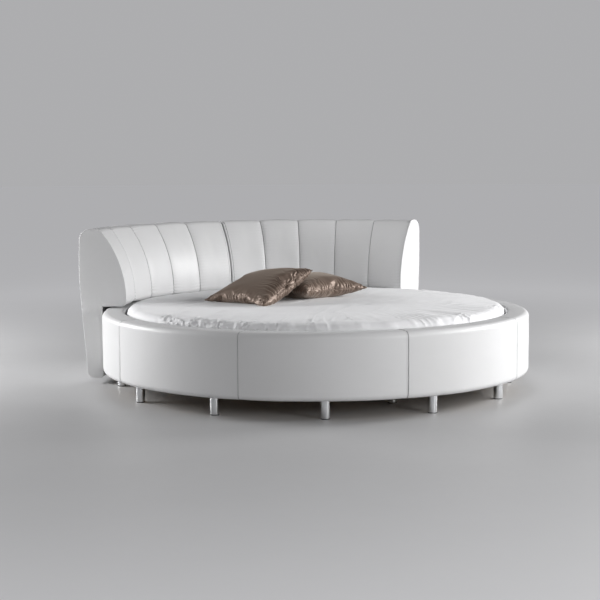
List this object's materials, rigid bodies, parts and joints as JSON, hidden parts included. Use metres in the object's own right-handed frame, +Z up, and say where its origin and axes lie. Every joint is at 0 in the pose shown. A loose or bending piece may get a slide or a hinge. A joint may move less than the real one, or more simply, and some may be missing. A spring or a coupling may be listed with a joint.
{
  "type": "round bed",
  "caption": "Round upholstered bed with a padded rim, a curved channelled headboard, chrome legs, a slatted base, a domed mattress and scatter cushions.",
  "frame": {"origin": "centre of the round base on the floor, under the centre leg's pad", "axes": "+Z up; +Y from the centre of the base to the middle of the headboard"},
  "size_m": [2.36, 2.5074, 0.873],
  "materials": {
    "white_leather": "smooth semi-matt leatherette",
    "padding": "polyurethane foam",
    "core_foam": "pocketed spring and foam core",
    "ticking": "quilted knitted cover",
    "sheet": "crisp cotton",
    "brown_satin": "satin",
    "leg_chrome": "polished",
    "black_plastic": "moulded",
    "zinc_steel": "zinc plated",
    "painted_steel": "powder coated",
    "beech": "planed, clear varnish",
    "plywood": "raw"
  },
  "bodies": {
    "bed_frame": {"beam_brackets": "painted_steel", "centre_beam": "painted_steel", "frame_bolts": "zinc_steel", "headboard_back_board_left": "plywood", "headboard_back_board_right": "plywood", "headboard_back_cover_left": "white_leather", "headboard_back_cover_right": "white_leather", "headboard_bolts": "zinc_steel", "headboard_channel_left_1": "white_leather", "headboard_channel_left_2": "white_leather", "headboard_channel_left_3": "white_leather", "headboard_channel_left_4": "white_leather", "headboard_channel_left_5": "white_leather", "headboard_channel_right_1": "white_leather", "headboard_channel_right_2": "white_leather", "headboard_channel_right_3": "white_leather", "headboard_channel_right_4": "white_leather", "headboard_channel_right_5": "white_leather", "headboard_front_board_left": "plywood", "headboard_front_board_right": "plywood", "headboard_inner_end_left": "white_leather", "headboard_inner_end_right": "white_leather", "headboard_leg_board_left": "plywood", "headboard_leg_board_right": "plywood", "headboard_outer_end_left": "white_leather", "headboard_outer_end_right": "white_leather", "headboard_ribs": "plywood", "headboard_spacers": "black_plastic", "inner_legs": "leg_chrome", "joint_plates": "zinc_steel", "ledge_strips": "beech", "leg_pads": "black_plastic", "leg_screws": "zinc_steel", "outer_legs": "leg_chrome", "rim_bottom_boards": "plywood", "rim_cover_1": "white_leather", "rim_cover_2": "white_leather", "rim_cover_3": "white_leather", "rim_cover_4": "white_leather", "rim_cover_5": "white_leather", "rim_cover_6": "white_leather", "rim_cover_7": "white_leather", "rim_cover_8": "white_leather", "rim_cover_9": "white_leather", "rim_foam": "padding", "rim_inner_walls": "plywood", "rim_outer_walls": "plywood", "rim_ribs": "plywood", "rim_top_boards": "plywood", "slat_rail_left": "beech", "slat_rail_right": "beech", "slat_saddles": "black_plastic", "slats_left": "beech", "slats_right": "beech"},
    "mattress": {"mattress_core": "core_foam", "mattress_cover": "ticking", "mattress_base_panel": "ticking", "fitted_sheet": "sheet"},
    "cushion_left": {"cushion_left": "brown_satin"},
    "cushion_right": {"cushion_right": "brown_satin"}
  },
  "joints": [
    {"name": "mattress_lift", "type": "slide", "parent": "bed_frame", "child": "mattress", "axis": [0, 0, 1], "range_m": [0, 0.3]},
    {"name": "cushion_left_lift", "type": "slide", "parent": "mattress", "child": "cushion_left", "axis": [0, 0, 1], "range_m": [0, 0.2]},
    {"name": "cushion_right_pull", "type": "slide", "parent": "mattress", "child": "cushion_right", "axis": [0.9259, 0.3778, 0], "range_m": [0, 0.3]}
  ]
}
